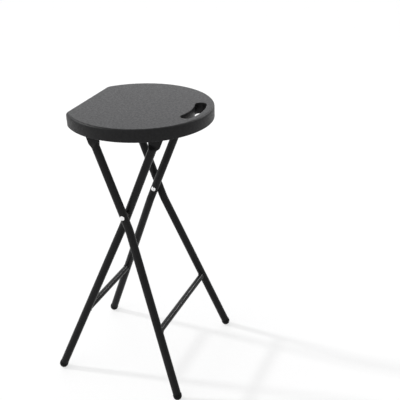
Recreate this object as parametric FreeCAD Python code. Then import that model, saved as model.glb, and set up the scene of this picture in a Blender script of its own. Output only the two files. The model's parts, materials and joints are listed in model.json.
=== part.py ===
"""Folding bar stool: a moulded seat on two crossing tube frames.

Millimetres and degrees, +Z up, floor at z = 0. +X points to the seat's handle slot,
+Y to the left. Everything is drawn opened, as the stool stands.
"""
import FreeCAD
import Part
import math
import os

# Seat moulding
SEAT_TOP_HEIGHT = 589.0
SEAT_RADIUS = 150.0
SEAT_CENTRE_OFFSET = 7.0
CHORD_DISTANCE = 119.5
CORNER_RADIUS = 14.0
RIM_DEPTH = 26.0
CHORD_RIM_DEPTH = 14.0
RIM_EDGE_RADIUS = 5.0
SKIRT_THICKNESS = 3.0
TOP_THICKNESS = 3.5
RIB_THICKNESS = 2.0
RIB_DEPTH = 10.0
RIB_PITCH = 40.0
RIM_LEG_CLEARANCE = 1.5

# Handle slot, concentric with the rim, and the grip between the two
GRIP_WIDTH = 15.8
SLOT_WIDTH = 24.0
SLOT_HALF_ANGLE = 18.5
SLOT_WALL = 2.5
SLOT_EDGE_RADIUS = 2.0

# Tubes
TUBE_DIAMETER = 17.0
TUBE_WALL = 1.5
BEND_RADIUS = 80.0
BAR_DIAMETER = 13.5
BAR_WALL = 1.2
TOP_BAR_DIAMETER = 8.0

# The legs' pressed-flat tops, from the pin or bar down to where the tube is round again. The
# press spreads each flat a little wider than half the tube's girth
FLAT_LENGTH = 33.0
TAPER_LENGTH = 12.0
PRESSED_GAP = 0.4
PRESS_SPREAD = 1.5

# Where the two frames cross, and the gap between their tubes there
PIVOT_HEIGHT = 376.0
FRAME_GAP = 4.3

# Outer frame, hinged to the seat near its flat edge. The pin's place is given from the
# crossing point along the stool and from the sitting face down
HINGE_PIN_OFFSET = 67.25
HINGE_PIN_DEPTH = 25.7
OUTER_HALF_WIDTH = 88.0
OUTER_BEND_DROP = 31.5
OUTER_SPLAY_ANGLE = 10.0
OUTER_BAR_DROP = 249.7

# Inner frame, hooked to the seat near its slot by its top bar, placed as the pin is
TOP_BAR_OFFSET = 77.0
TOP_BAR_DEPTH = 26.2
INNER_BEND_DROP = 31.5
INNER_SPLAY_ANGLE = 9.0
INNER_BAR_DROP = 250.3

# Angle left between the frames when the stool is folded
CLOSED_ANGLE = 4.0

# Feet
FOOT_DIAMETER = 18.4
FOOT_COLLAR = 4.0
FOOT_FLAT_DEPTH = 0.4
FOOT_STEM_LENGTH = 18.0
FOOT_STEM_CLEARANCE = 0.1

# Rivets and pins
RIVET_DIAMETER = 6.0
RIVET_HEAD_DIAMETER = 10.0
RIVET_HEAD_HEIGHT = 2.6
SPACER_DIAMETER = 9.6
SPOT_FACE_DEPTH = 0.6
BUSH_DIAMETER = 12.0
RUNNING_CLEARANCE = 0.05
FACE_CLEARANCE = 0.3

# Steel brackets under the seat, each a U of sheet over one leg's top
SHEET = 2.0
BRACKET_GAP = 12.0
BRACKET_LENGTH = 40.0
SHEET_BEND_RADIUS = 3.0
HINGE_CHEEK_RADIUS = 9.0
HOOK_LIP = 11.0
HOOK_DEPTH = 14.0
HOOK_THROAT_CLEARANCE = 0.5
HOOK_CORNER_RADIUS = 2.0
THROAT_END_ANGLE = 16.0
THROAT_STEPS = 4
TOP_BAR_OVERHANG = 1.0

# Countersunk screws that hold the brackets
SCREW_DIAMETER = 3.5
SCREW_HEAD_DIAMETER = 7.0
SCREW_LENGTH = 7.5
SCREW_EDGE_DISTANCE = 6.5
SCREW_CLEARANCE = 0.1

# Sizes that follow from the ones above
TUBE_RADIUS = TUBE_DIAMETER / 2
FOOT_RADIUS = FOOT_DIAMETER / 2
FOOT_CENTRE_HEIGHT = FOOT_RADIUS - FOOT_FLAT_DEPTH
TONGUE_HALF_WIDTH = TUBE_WALL + (TUBE_RADIUS - TUBE_WALL) * math.pi / 2 + PRESS_SPREAD / 2
BRACKET_WIDTH = BRACKET_GAP + 2 * SHEET
INNER_HALF_WIDTH = OUTER_HALF_WIDTH - TUBE_DIAMETER - FRAME_GAP
SLOT_MIDDLE_RADIUS = SEAT_RADIUS - GRIP_WIDTH - SLOT_WIDTH / 2
BRACKET_TOP = SEAT_TOP_HEIGHT - RIB_DEPTH


def sine(angle):
    return math.sin(math.radians(angle))


def cosine(angle):
    return math.cos(math.radians(angle))


def tangent(angle):
    return math.tan(math.radians(angle))


def lean_angle(offset, depth):
    """How far a frame leans from upright, from its top's place in the seat."""
    return math.degrees(math.atan2(offset, SEAT_TOP_HEIGHT - depth - PIVOT_HEIGHT))


OUTER_LEAN = lean_angle(HINGE_PIN_OFFSET, HINGE_PIN_DEPTH)
INNER_LEAN = lean_angle(TOP_BAR_OFFSET, TOP_BAR_DEPTH)
SEAT_FOLD = 90.0 + OUTER_LEAN
SCISSOR_FOLD = OUTER_LEAN + INNER_LEAN - CLOSED_ANGLE
INNER_FOOT_REACH = (PIVOT_HEIGHT - FOOT_CENTRE_HEIGHT) * tangent(INNER_LEAN) + FOOT_RADIUS
SEAT_SLOT_REACH = SEAT_CENTRE_OFFSET + SEAT_RADIUS

# The origin lies on the floor below the middle of the stool's length
PIVOT_X = (INNER_FOOT_REACH - SEAT_SLOT_REACH) / 2
SEAT_X = PIVOT_X + SEAT_CENTRE_OFFSET


class Frame:
    """One pair of legs. Distances run down along the frame from the crossing point."""

    def __init__(self, name, top_side, top_offset, lean, half_width, bend_drop, splay, bar_drop):
        self.name = name
        self.half_width = half_width
        self.bend_drop = bend_drop
        self.splay = splay
        self.bar_drop = bar_drop
        self.reach = top_offset / sine(lean)
        self.down = FreeCAD.Vector(-top_side * sine(lean), 0, -cosine(lean))
        self.outward = FreeCAD.Vector(top_side * cosine(lean), 0, -sine(lean))
        self.lower_direction = self.down * cosine(splay) + FreeCAD.Vector(0, sine(splay), 0)
        self.foot_drop = (PIVOT_HEIGHT - FOOT_CENTRE_HEIGHT) / cosine(lean)

    def half_width_at(self, drop):
        return self.half_width + max(0.0, drop - self.bend_drop) * tangent(self.splay)

    def point(self, drop, y=0.0):
        """A point in the frame's plane."""
        return FreeCAD.Vector(PIVOT_X, y, PIVOT_HEIGHT) + self.down * drop

    def leg_point(self, drop):
        """A point on the left leg's centreline."""
        return self.point(drop, self.half_width_at(drop))


OUTER = Frame("outer", -1, HINGE_PIN_OFFSET, OUTER_LEAN, OUTER_HALF_WIDTH, OUTER_BEND_DROP,
              OUTER_SPLAY_ANGLE, OUTER_BAR_DROP)
INNER = Frame("inner", 1, TOP_BAR_OFFSET, INNER_LEAN, INNER_HALF_WIDTH, INNER_BEND_DROP,
              INNER_SPLAY_ANGLE, INNER_BAR_DROP)
ACROSS = FreeCAD.Vector(0, 1, 0)
UP = FreeCAD.Vector(0, 0, 1)


def save(name, shapes):
    """Write one node, as a single solid or as a group of separate ones."""
    solids = [solid for shape in shapes for solid in shape.Solids]
    shape = solids[0] if len(solids) == 1 else Part.makeCompound(solids)
    shape.exportStep(os.path.join("parts", name + ".step"))
    print(name, len(solids), "solid(s)", round(sum(s.Volume for s in solids)), "mm3")


def rod(radius, start, end):
    return Part.makeCylinder(radius, (end - start).Length, start, end - start)


def rod_across(radius, centre, low_y, high_y):
    start = FreeCAD.Vector(centre.x, low_y, centre.z)
    end = FreeCAD.Vector(centre.x, high_y, centre.z)
    return rod(radius, start, end)


def mirrored(shape):
    """The right-hand twin of a left-hand piece."""
    return shape.mirror(FreeCAD.Vector(), ACROSS)


def save_pair(name, shapes):
    """Write a left-hand node and its mirror image."""
    save(name + "_left", shapes)
    save(name + "_right", [mirrored(shape) for shape in shapes])


def leg_centreline(frame, top_drop, bottom_drop):
    """The left tube's centreline: straight, one bend outwards, straight."""
    corner = frame.leg_point(frame.bend_drop)
    upper = frame.down
    lower = frame.lower_direction
    setback = BEND_RADIUS * tangent(frame.splay / 2)
    bend_start = corner - upper * setback
    bend_end = corner + lower * setback
    towards_centre = (lower - upper).normalize()
    rise = BEND_RADIUS * (1 / cosine(frame.splay / 2) - 1)
    bend_middle = corner + towards_centre * rise
    edges = [
        Part.LineSegment(frame.leg_point(top_drop), bend_start).toShape(),
        Part.Arc(bend_start, bend_middle, bend_end).toShape(),
        Part.LineSegment(bend_end, frame.leg_point(bottom_drop)).toShape(),
    ]
    return Part.Wire(edges)


def pipe(radius, path, start, direction):
    section = Part.Wire(Part.makeCircle(radius, start, direction))
    return path.makePipeShell([section], True, False)


def round_section(centre, radius, wide):
    """A circle in four arcs, with the corners where a flattened section has them."""
    def at(angle):
        return centre + wide * (radius * cosine(angle)) + ACROSS * (radius * sine(angle))

    arcs = []
    for quarter in range(4):
        middle = 90 * quarter
        arcs.append(Part.Arc(at(middle - 45), at(middle), at(middle + 45)).toShape())
    return Part.Wire(arcs)


def flat_section(centre, half_width, half_thickness, wide):
    """A flattened tube's section: two straight sides and two half-round edges."""
    def at(x, y):
        return centre + wide * x + ACROSS * y

    end = half_width - half_thickness
    return Part.Wire([
        Part.Arc(at(end, -half_thickness), at(half_width, 0), at(end, half_thickness)).toShape(),
        Part.LineSegment(at(end, half_thickness), at(-end, half_thickness)).toShape(),
        Part.Arc(at(-end, half_thickness), at(-half_width, 0), at(-end, -half_thickness)).toShape(),
        Part.LineSegment(at(-end, -half_thickness), at(end, -half_thickness)).toShape(),
    ])


def leg_tongue(frame):
    """The pressed-flat top of a left leg: a taper, a flat and a round end about its hole."""
    round_point = frame.leg_point(FLAT_LENGTH + TAPER_LENGTH - frame.reach)
    flat_point = frame.leg_point(FLAT_LENGTH - frame.reach)
    hole_point = frame.leg_point(-frame.reach)
    wide = frame.outward
    flat_wire = flat_section(flat_point, TONGUE_HALF_WIDTH, TUBE_WALL, wide)
    taper = Part.makeLoft([round_section(round_point, TUBE_RADIUS, wide), flat_wire], True, True)
    slit = flat_section(flat_point, TONGUE_HALF_WIDTH - TUBE_WALL, PRESSED_GAP / 2, wide)
    hollow = Part.makeLoft([round_section(round_point, TUBE_RADIUS - TUBE_WALL, wide), slit], True, True)
    flat = Part.Face(flat_wire).extrude(hole_point - flat_point)
    low = hole_point - ACROSS * TUBE_WALL
    high = hole_point + ACROSS * TUBE_WALL
    straight = wide * (TONGUE_HALF_WIDTH - TUBE_WALL)
    half_section = Part.Wire([
        Part.LineSegment(low, low + straight).toShape(),
        Part.Arc(low + straight, hole_point + wide * TONGUE_HALF_WIDTH, high + straight).toShape(),
        Part.LineSegment(high + straight, high).toShape(),
        Part.LineSegment(high, low).toShape(),
    ])
    round_end = Part.Face(half_section).revolve(hole_point, ACROSS, 360)
    return taper.cut(hollow).fuse([flat, round_end])


def spot_face(point, y, sign):
    """Cutter that flattens the tube where a rivet head or spacer sits on it."""
    flat = y - sign * SPOT_FACE_DEPTH
    return rod_across(RIVET_HEAD_DIAMETER / 2 + FACE_CLEARANCE, point, flat, flat + sign * TUBE_RADIUS)


def tube_bottom_drop(frame):
    """Where the tube ends and the foot's collar begins."""
    return frame.foot_drop - FOOT_COLLAR * cosine(frame.splay)


def leg(frame, hole_radius):
    """The left leg: a bent tube with a flat top, bored for its rivet and for its pin or bar."""
    top = FLAT_LENGTH + TAPER_LENGTH - frame.reach
    path = leg_centreline(frame, top, tube_bottom_drop(frame))
    start = frame.leg_point(top)
    tube = pipe(TUBE_RADIUS, path, start, frame.down)
    tube = tube.cut(pipe(TUBE_RADIUS - TUBE_WALL, path, start, frame.down))
    solid = tube.fuse(leg_tongue(frame)).removeSplitter()
    middle = frame.half_width
    for drop, radius in ((0.0, RIVET_DIAMETER / 2), (-frame.reach, hole_radius)):
        bore = rod_across(radius + RUNNING_CLEARANCE, frame.point(drop),
                          middle - TUBE_DIAMETER, middle + TUBE_DIAMETER)
        solid = solid.cut(bore)
    for sign in (1, -1):
        solid = solid.cut(spot_face(frame.point(0.0), middle + sign * TUBE_RADIUS, sign))
    return solid


def crossbar(frame):
    """Round bar between the legs, its ends cut to the round of the tubes."""
    half = frame.half_width_at(frame.bar_drop)
    centre = frame.point(frame.bar_drop)
    bar = rod_across(BAR_DIAMETER / 2, centre, -half, half)
    bar = bar.cut(rod_across(BAR_DIAMETER / 2 - BAR_WALL, centre, -half, half))
    start = frame.leg_point(frame.bar_drop - 2 * TUBE_DIAMETER)
    end = frame.leg_point(frame.bar_drop + 2 * TUBE_DIAMETER)
    tube = rod(TUBE_RADIUS, start, end)
    return bar.cut([tube, mirrored(tube)])


def foot_cap(frame):
    """Plastic glide: a stem in the tube, a collar under its end and a dome on the floor."""
    along = frame.lower_direction
    centre = frame.leg_point(frame.foot_drop)
    tube_end = frame.leg_point(tube_bottom_drop(frame))
    cap = rod(FOOT_RADIUS, tube_end, centre).fuse(Part.makeSphere(FOOT_RADIUS, centre))
    cap = cap.cut(rod(FOOT_DIAMETER, tube_end - along * FOOT_DIAMETER, tube_end))
    stem_radius = TUBE_RADIUS - TUBE_WALL - FOOT_STEM_CLEARANCE
    cap = cap.fuse(rod(stem_radius, tube_end - along * FOOT_STEM_LENGTH, tube_end)).removeSplitter()
    corner = FreeCAD.Vector(centre.x - FOOT_DIAMETER, centre.y - FOOT_DIAMETER, -FOOT_DIAMETER)
    below_floor = Part.makeBox(2 * FOOT_DIAMETER, 2 * FOOT_DIAMETER, FOOT_DIAMETER, corner)
    return cap.cut(below_floor)


def domed_head(centre, outward):
    """A shallow rivet head that sits on its flat side."""
    radius = RIVET_HEAD_DIAMETER / 2
    ball = (radius * radius + RIVET_HEAD_HEIGHT ** 2) / (2 * RIVET_HEAD_HEIGHT)
    ball_centre = centre + outward * (RIVET_HEAD_HEIGHT - ball)
    crown = centre + outward * RIVET_HEAD_HEIGHT
    rim = centre + UP * radius
    between = ball_centre + (crown + rim - ball_centre * 2).normalize() * ball
    half_section = Part.Wire([
        Part.LineSegment(centre, rim).toShape(),
        Part.Arc(rim, between, crown).toShape(),
        Part.LineSegment(crown, centre).toShape(),
    ])
    return Part.Face(half_section).revolve(centre, outward, 360)


def rivet(point, low_y, high_y):
    """A shank across the stool with a domed head on either end."""
    low = FreeCAD.Vector(point.x, low_y, point.z)
    high = FreeCAD.Vector(point.x, high_y, point.z)
    shank = rod(RIVET_DIAMETER / 2, low, high)
    return shank.fuse([domed_head(high, ACROSS), domed_head(low, ACROSS * -1)]).removeSplitter()


def ring(point, outer_radius, inner_radius, low_y, high_y):
    return rod_across(outer_radius, point, low_y, high_y).cut(rod_across(inner_radius, point, low_y, high_y))


def pivot_rivet():
    """Runs through both left tubes: the crossing point that the frames turn on."""
    outer_seat = OUTER.half_width + TUBE_RADIUS - SPOT_FACE_DEPTH
    inner_seat = INNER.half_width - TUBE_RADIUS + SPOT_FACE_DEPTH - FACE_CLEARANCE
    return rivet(OUTER.point(0.0), inner_seat, outer_seat)


def pivot_spacer():
    """Washer that keeps the two tubes apart on the rivet."""
    outer_face = OUTER.half_width - TUBE_RADIUS + SPOT_FACE_DEPTH
    inner_face = INNER.half_width + TUBE_RADIUS - SPOT_FACE_DEPTH + FACE_CLEARANCE
    bore = RIVET_DIAMETER / 2 + RUNNING_CLEARANCE
    return ring(OUTER.point(0.0), SPACER_DIAMETER / 2, bore, inner_face, outer_face)


def edges_along_x(box, z):
    return [edge for edge in box.Edges
            if abs(edge.CenterOfMass.z - z) < 0.01 and edge.BoundBox.XLength > edge.BoundBox.YLength]


def channel(frame, low_z):
    """Sheet bent to a U, open downwards, that lies along X over a left leg's top."""
    low_x = frame.point(-frame.reach).x - BRACKET_LENGTH / 2
    low_y = frame.half_width - BRACKET_WIDTH / 2
    height = BRACKET_TOP - low_z
    block = Part.makeBox(BRACKET_LENGTH, BRACKET_WIDTH, height, FreeCAD.Vector(low_x, low_y, low_z))
    hollow = Part.makeBox(BRACKET_LENGTH, BRACKET_GAP, height - SHEET,
                          FreeCAD.Vector(low_x, low_y + SHEET, low_z))
    block = block.makeFillet(SHEET_BEND_RADIUS, edges_along_x(block, BRACKET_TOP))
    hollow = hollow.makeFillet(SHEET_BEND_RADIUS - SHEET, edges_along_x(hollow, BRACKET_TOP - SHEET))
    return block.cut(hollow)


def bracket(frame, outline):
    """A channel cut to the cheeks' outline and drilled for its two screws."""
    low_z = outline.BoundBox.ZMin
    outline.translate(ACROSS * (frame.half_width - BRACKET_WIDTH))
    solid = channel(frame, low_z).common(outline.extrude(ACROSS * (2 * BRACKET_WIDTH)))
    for place in screw_places(frame):
        solid = solid.cut(screw(place, SCREW_CLEARANCE))
    return solid


def screw_places(frame):
    """Two screws in line over a left leg, in from the ends of its bracket."""
    middle = frame.point(-frame.reach, frame.half_width)
    step = BRACKET_LENGTH / 2 - SCREW_EDGE_DISTANCE
    return [FreeCAD.Vector(middle.x + offset, middle.y, BRACKET_TOP - SHEET) for offset in (-step, step)]


def all_screws(clearance=0.0):
    left = [screw(place, clearance) for frame in (OUTER, INNER) for place in screw_places(frame)]
    return left + [mirrored(shape) for shape in left]


def screw(place, clearance=0.0):
    """Countersunk screw, its head flush in the sheet and its shank up in the seat."""
    head_radius = SCREW_HEAD_DIAMETER / 2 + clearance
    shank_radius = SCREW_DIAMETER / 2 + clearance
    shank = Part.makeCylinder(shank_radius, SCREW_LENGTH + clearance, place, UP)
    head = Part.makeCone(head_radius, shank_radius, head_radius - shank_radius, place, UP)
    return shank.fuse(head).removeSplitter()


def touch_point(corner, centre, radius, turn):
    """Where a line from a corner touches a circle. turn is +1 or -1 for the two lines."""
    away = corner - centre
    angle = math.atan2(away.z, away.x) + turn * math.acos(radius / away.Length)
    return centre + FreeCAD.Vector(radius * math.cos(angle), 0, radius * math.sin(angle))


def hinge_bracket():
    """Two cheeks that narrow to a round eye about the pin."""
    eye = OUTER.point(-OUTER.reach)
    half = BRACKET_LENGTH / 2
    left_top = FreeCAD.Vector(eye.x - half, 0, BRACKET_TOP)
    right_top = FreeCAD.Vector(eye.x + half, 0, BRACKET_TOP)
    left_low = left_top - UP * (2 * SHEET)
    right_low = right_top - UP * (2 * SHEET)
    left_touch = touch_point(left_low, eye, HINGE_CHEEK_RADIUS, 1)
    right_touch = touch_point(right_low, eye, HINGE_CHEEK_RADIUS, -1)
    bottom = eye - UP * HINGE_CHEEK_RADIUS
    outline = Part.Face(Part.Wire([
        Part.LineSegment(left_low, left_touch).toShape(),
        Part.Arc(left_touch, bottom, right_touch).toShape(),
        Part.LineSegment(right_touch, right_low).toShape(),
        Part.LineSegment(right_low, right_top).toShape(),
        Part.LineSegment(right_top, left_top).toShape(),
        Part.LineSegment(left_top, left_low).toShape(),
    ]))
    bore = rod_across(RIVET_DIAMETER / 2 + RUNNING_CLEARANCE, eye, 0, SEAT_RADIUS)
    return bracket(OUTER, outline).cut(bore)


def hinge_pin():
    half = BRACKET_WIDTH / 2
    return rivet(OUTER.point(-OUTER.reach), OUTER.half_width - half, OUTER.half_width + half)


def hinge_bushes():
    """Two plastic rings that keep the leg's flat top midway between the cheeks."""
    eye = OUTER.point(-OUTER.reach)
    bore = RIVET_DIAMETER / 2 + RUNNING_CLEARANCE
    near = TUBE_WALL + FACE_CLEARANCE
    far = BRACKET_GAP / 2
    middle = OUTER.half_width
    return [ring(eye, BUSH_DIAMETER / 2, bore, middle + near, middle + far),
            ring(eye, BUSH_DIAMETER / 2, bore, middle - far, middle - near)]


def turned(point, centre, angle):
    """A point turned in the XZ plane from +X towards +Z."""
    x = point.x - centre.x
    z = point.z - centre.z
    return FreeCAD.Vector(centre.x + x * cosine(angle) - z * sine(angle), point.y,
                          centre.z + x * sine(angle) + z * cosine(angle))


def bar_place_in_seat(seat_angle):
    """Where the inner frame's top bar is, seen from the seat, as the stool folds."""
    scissor_angle = seat_angle * SCISSOR_FOLD / SEAT_FOLD
    bar = turned(INNER.point(-INNER.reach), INNER.point(0.0), scissor_angle)
    return turned(bar, OUTER.point(-OUTER.reach), -seat_angle)


def hook_throat():
    """Cutter along the bar's way out of the hook, from its seat to past the sheet's edge."""
    radius = TOP_BAR_DIAMETER / 2 + HOOK_THROAT_CLEARANCE
    low_y = INNER.half_width - BRACKET_WIDTH
    high_y = INNER.half_width + BRACKET_WIDTH
    angles = [THROAT_END_ANGLE * step / THROAT_STEPS for step in range(THROAT_STEPS + 1)]
    places = [bar_place_in_seat(angle) for angle in angles]
    parts = [rod_across(radius, place, low_y, high_y) for place in places]
    for start, end in zip(places, places[1:]):
        along = end - start
        normal = FreeCAD.Vector(-along.z, 0, along.x).normalize() * radius
        corners = [start + normal, end + normal, end - normal, start - normal]
        face = Part.Face(Part.makePolygon(corners + corners[:1]))
        face.translate(ACROSS * low_y)
        parts.append(face.extrude(ACROSS * (high_y - low_y)))
    return parts[0].fuse(parts[1:]).removeSplitter()


def hook_bracket():
    """Two cheeks with a throat, open downwards, that hang the seat on the top bar."""
    bar = INNER.point(-INNER.reach)
    half = BRACKET_LENGTH / 2
    low_z = bar.z - HOOK_DEPTH
    corners = [
        FreeCAD.Vector(bar.x - half, 0, BRACKET_TOP),
        FreeCAD.Vector(bar.x + half, 0, BRACKET_TOP),
        FreeCAD.Vector(bar.x + half, 0, BRACKET_TOP - 2 * SHEET),
        FreeCAD.Vector(bar.x + HOOK_LIP, 0, low_z),
        FreeCAD.Vector(bar.x - half, 0, low_z),
    ]
    outline = Part.Face(Part.makePolygon(corners + corners[:1]))
    solid = bracket(INNER, outline).cut(hook_throat())
    lips = [edge for edge in solid.Edges
            if abs(edge.CenterOfMass.z - low_z) < 0.01 and edge.BoundBox.XLength < 0.01]
    return solid.makeFillet(HOOK_CORNER_RADIUS, lips)


def top_bar():
    """Straight bar through the flat tops of both inner legs, which the hooks hold."""
    half = INNER.half_width + BRACKET_WIDTH / 2 + TOP_BAR_OVERHANG
    return rod_across(TOP_BAR_DIAMETER / 2, INNER.point(-INNER.reach), -half, half)


def seat_outline(inset, z):
    """The seat's plan: a circle cut off by a chord, with rounded corners."""
    radius = SEAT_RADIUS - inset
    chord = CHORD_DISTANCE - inset
    corner = CORNER_RADIUS - inset
    corner_x = corner - chord
    corner_y = math.sqrt((radius - corner) ** 2 - corner_x ** 2)
    touch_x = corner_x * radius / (radius - corner)
    touch_y = corner_y * radius / (radius - corner)
    middle_angle = (math.pi + math.atan2(touch_y, touch_x)) / 2

    def at(x, y):
        return FreeCAD.Vector(SEAT_X + x, y, z)

    def corner_middle(sign):
        y = corner_y + corner * math.sin(middle_angle)
        return at(corner_x + corner * math.cos(middle_angle), sign * y)

    return Part.Face(Part.Wire([
        Part.Arc(at(touch_x, -touch_y), at(radius, 0), at(touch_x, touch_y)).toShape(),
        Part.Arc(at(touch_x, touch_y), corner_middle(1), at(-chord, corner_y)).toShape(),
        Part.LineSegment(at(-chord, corner_y), at(-chord, -corner_y)).toShape(),
        Part.Arc(at(-chord, -corner_y), corner_middle(-1), at(touch_x, -touch_y)).toShape(),
    ]))


def slot_outline(extra, z):
    """The handle slot's plan: an arc band with round ends, grown by extra all round."""
    half = SLOT_WIDTH / 2 + extra
    low, high = SLOT_MIDDLE_RADIUS - half, SLOT_MIDDLE_RADIUS + half

    def at(radius, angle):
        return FreeCAD.Vector(SEAT_X + radius * cosine(angle), radius * sine(angle), z)

    def end_middle(sign):
        angle = sign * SLOT_HALF_ANGLE
        tip = FreeCAD.Vector(-sine(angle), cosine(angle), 0) * (sign * half)
        return at(SLOT_MIDDLE_RADIUS, angle) + tip

    return Part.Face(Part.Wire([
        Part.Arc(at(high, -SLOT_HALF_ANGLE), at(high, 0), at(high, SLOT_HALF_ANGLE)).toShape(),
        Part.Arc(at(high, SLOT_HALF_ANGLE), end_middle(1), at(low, SLOT_HALF_ANGLE)).toShape(),
        Part.Arc(at(low, SLOT_HALF_ANGLE), at(low, 0), at(low, -SLOT_HALF_ANGLE)).toShape(),
        Part.Arc(at(low, -SLOT_HALF_ANGLE), end_middle(-1), at(high, -SLOT_HALF_ANGLE)).toShape(),
    ]))


def seat_ribs():
    """Crossing ribs under the sitting face, inside the skirt."""
    depth = RIB_DEPTH - TOP_THICKNESS
    length = 2 * SEAT_RADIUS
    count = int(SEAT_RADIUS // RIB_PITCH)
    ribs = []
    for index in range(-count, count + 1):
        step = index * RIB_PITCH - RIB_THICKNESS / 2
        ribs.append(Part.makeBox(length, RIB_THICKNESS, depth,
                                 FreeCAD.Vector(SEAT_X - SEAT_RADIUS, step, BRACKET_TOP)))
        ribs.append(Part.makeBox(RIB_THICKNESS, length, depth,
                                 FreeCAD.Vector(SEAT_X + step, -SEAT_RADIUS, BRACKET_TOP)))
    inside = seat_outline(SKIRT_THICKNESS / 2, BRACKET_TOP).extrude(UP * depth)
    return ribs[0].fuse(ribs[1:]).common(inside)


def bracket_pads():
    """Solid pads under the sitting face, where the brackets are screwed on."""
    pads = []
    for frame in (OUTER, INNER):
        middle = frame.point(-frame.reach, frame.half_width)
        corner = FreeCAD.Vector(middle.x - BRACKET_LENGTH / 2, middle.y - BRACKET_WIDTH / 2, BRACKET_TOP)
        pad = Part.makeBox(BRACKET_LENGTH, BRACKET_WIDTH, RIB_DEPTH - TOP_THICKNESS, corner)
        pads += [pad, mirrored(pad)]
    return pads


def seat_shell():
    """The moulding: top, skirt, slot wall, ribs and pads in one piece."""
    low_z = SEAT_TOP_HEIGHT - RIM_DEPTH
    inner_height = UP * (RIM_DEPTH - TOP_THICKNESS)
    body = seat_outline(0.0, low_z).extrude(UP * RIM_DEPTH)
    top_edges = [edge for edge in body.Edges if edge.BoundBox.ZMin > SEAT_TOP_HEIGHT - 0.01]
    body = body.makeFillet(RIM_EDGE_RADIUS, top_edges)
    body = body.cut(seat_outline(SKIRT_THICKNESS, low_z).extrude(inner_height))
    slot_wall = slot_outline(SLOT_WALL, low_z).extrude(inner_height)
    body = body.fuse([seat_ribs(), slot_wall] + bracket_pads())
    body = body.cut(slot_outline(0.0, low_z).extrude(UP * RIM_DEPTH)).removeSplitter()
    slot_edges = [edge for edge in body.Edges
                  if edge.BoundBox.ZMin > SEAT_TOP_HEIGHT - 0.01
                  and slot_outline(0.0, SEAT_TOP_HEIGHT).distToShape(Part.Vertex(edge.CenterOfMass))[0] < 1.0]
    body = body.makeFillet(SLOT_EDGE_RADIUS, slot_edges)
    half = OUTER.half_width + TUBE_RADIUS + RIM_LEG_CLEARANCE
    corner = FreeCAD.Vector(SEAT_X - SEAT_RADIUS, -half, low_z)
    leg_gap = Part.makeBox(SEAT_RADIUS - CHORD_DISTANCE + 2 * CORNER_RADIUS, 2 * half,
                           RIM_DEPTH - CHORD_RIM_DEPTH, corner)
    return body.cut([leg_gap] + all_screws(SCREW_CLEARANCE))


def main():
    os.makedirs("parts", exist_ok=True)
    save("seat_shell", [seat_shell()])
    save("bracket_screws", all_screws())
    save_pair("hinge_bracket", [hinge_bracket()])
    save_pair("hinge_pin", [hinge_pin()])
    save_pair("hinge_bushes", hinge_bushes())
    save_pair("hook_bracket", [hook_bracket()])
    save_pair("pivot_rivet", [pivot_rivet()])
    save_pair("pivot_spacer", [pivot_spacer()])
    save("inner_top_bar", [top_bar()])
    for frame, hole_diameter in ((OUTER, RIVET_DIAMETER), (INNER, TOP_BAR_DIAMETER)):
        save_pair(frame.name + "_leg", [leg(frame, hole_diameter / 2)])
        save_pair(frame.name + "_foot_cap", [foot_cap(frame)])
        save(frame.name + "_crossbar", [crossbar(frame)])


main()
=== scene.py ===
"""Looks of a folding bar stool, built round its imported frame. Metres and radians."""
import json
import logging
import math
from abc import ABC, abstractmethod
from dataclasses import dataclass, field
from enum import Enum
from functools import cache
from typing import Any, Callable, Iterable, Sequence

import bmesh
import bpy
from mathutils import Matrix, Vector
from mathutils.geometry import tessellate_polygon


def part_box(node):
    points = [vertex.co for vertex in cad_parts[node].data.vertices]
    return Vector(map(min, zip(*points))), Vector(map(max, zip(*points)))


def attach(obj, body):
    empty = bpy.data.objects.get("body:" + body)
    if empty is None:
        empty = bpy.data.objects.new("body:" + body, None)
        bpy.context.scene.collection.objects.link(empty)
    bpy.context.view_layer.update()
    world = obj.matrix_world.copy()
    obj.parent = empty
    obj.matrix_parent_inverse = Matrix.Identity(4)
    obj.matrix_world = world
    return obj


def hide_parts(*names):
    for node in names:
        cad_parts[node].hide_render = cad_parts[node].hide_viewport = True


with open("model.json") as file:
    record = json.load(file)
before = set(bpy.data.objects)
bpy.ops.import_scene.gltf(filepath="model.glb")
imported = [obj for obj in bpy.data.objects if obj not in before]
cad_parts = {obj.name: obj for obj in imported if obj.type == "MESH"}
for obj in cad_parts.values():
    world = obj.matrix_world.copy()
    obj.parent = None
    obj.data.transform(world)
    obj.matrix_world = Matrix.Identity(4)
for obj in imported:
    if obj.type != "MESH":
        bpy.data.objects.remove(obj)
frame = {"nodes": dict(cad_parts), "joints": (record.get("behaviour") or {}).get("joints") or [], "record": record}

logging.basicConfig(level=logging.INFO, format="%(name)s: %(message)s")
log = logging.getLogger("stool")

MM = 0.001
MERGE_DISTANCE = 0.001 * MM
CREASE = math.radians(32)
FULL_TURN = 2 * math.pi
HALF_TURN = math.pi
QUARTER_TURN = math.pi / 2
UP = Vector((0, 0, 1))
ACROSS = Vector((0, 1, 0))
WHITE = (1.0, 1.0, 1.0, 1.0)

Value = Any
Triple = tuple[float, float, float]
Span = tuple[float, float]
Ring = list[Vector]
Faces = list[tuple[int, ...]]
Course = list[tuple[Vector, Vector]]


class Side(Enum):
    """The stool's two sides, each with the sign of its Y."""

    LEFT = 1
    RIGHT = -1

    @property
    def word(self) -> str:
        """The side's name as node names end with it."""
        return self.name.lower()


class Slot(Enum):
    """The record's material slots."""

    SEAT = "seat_plastic"
    TUBE = "tube_paint"
    BRACKET = "bracket_steel"
    ZINC = "zinc_steel"
    FOOT = "foot_plastic"
    SPACER = "spacer_plastic"


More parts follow.
